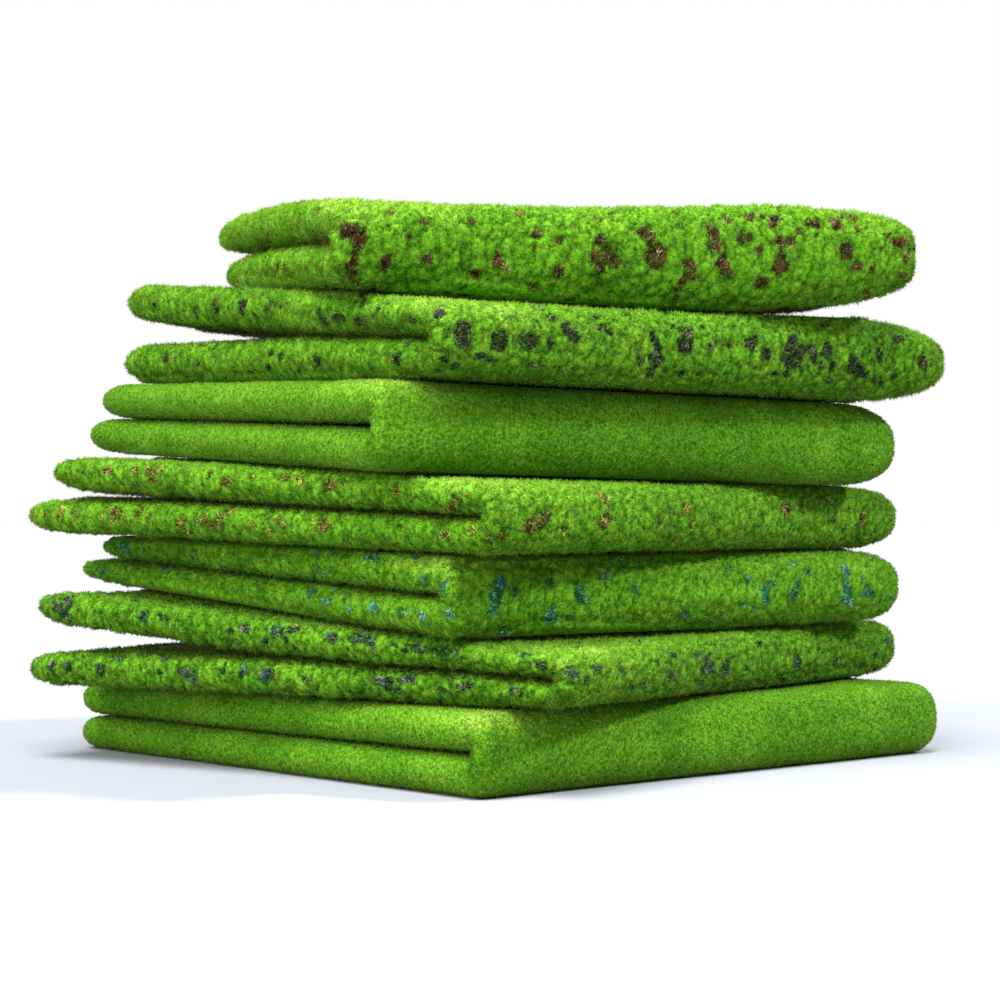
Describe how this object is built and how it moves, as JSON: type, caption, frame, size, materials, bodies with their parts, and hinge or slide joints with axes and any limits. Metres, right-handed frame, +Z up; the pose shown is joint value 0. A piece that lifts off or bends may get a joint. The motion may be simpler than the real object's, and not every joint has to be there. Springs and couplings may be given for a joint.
{
  "type": "stack of folded artificial moss mats",
  "caption": "Stack of square artificial moss mats, each folded in four with the moss outside, some plain green and some with coloured flecks; it stands on its flat underside.",
  "frame": {"origin": "middle of the stack's plan box, on the surface that it stands on", "axes": "+Z up; -Y is the front, which the picture shows; +X is to the right seen from there"},
  "size_m": [0.7628, 0.7216, 0.4637],
  "materials": {
    "plain_moss": "short even synthetic pile, matt with a soft sheen",
    "red_fleck_moss": "clumped synthetic pile with red and black curled fibres in the hollows",
    "violet_fleck_moss": "clumped synthetic pile with black and violet curled fibres in the hollows",
    "yellow_fleck_moss": "clumped synthetic pile with yellow and brown curled fibres in the hollows",
    "teal_fleck_moss": "clumped synthetic pile with teal and blue curled fibres in the hollows",
    "mixed_fleck_moss": "clumped synthetic pile with teal, violet and pink curled fibres in the hollows",
    "backing_cloth": "dark green needled cloth, matt"
  },
  "bodies": {
    "root": {"mat_7_moss": "plain_moss", "mat_7_backing": "backing_cloth", "mat_6_moss": "mixed_fleck_moss", "mat_6_backing": "backing_cloth", "mat_5_moss": "teal_fleck_moss", "mat_5_backing": "backing_cloth", "mat_4_moss": "yellow_fleck_moss", "mat_4_backing": "backing_cloth", "mat_3_moss": "plain_moss", "mat_3_backing": "backing_cloth", "mat_2_moss": "violet_fleck_moss", "mat_2_backing": "backing_cloth", "mat_1_moss": "red_fleck_moss", "mat_1_backing": "backing_cloth"}
  },
  "joints": []
}
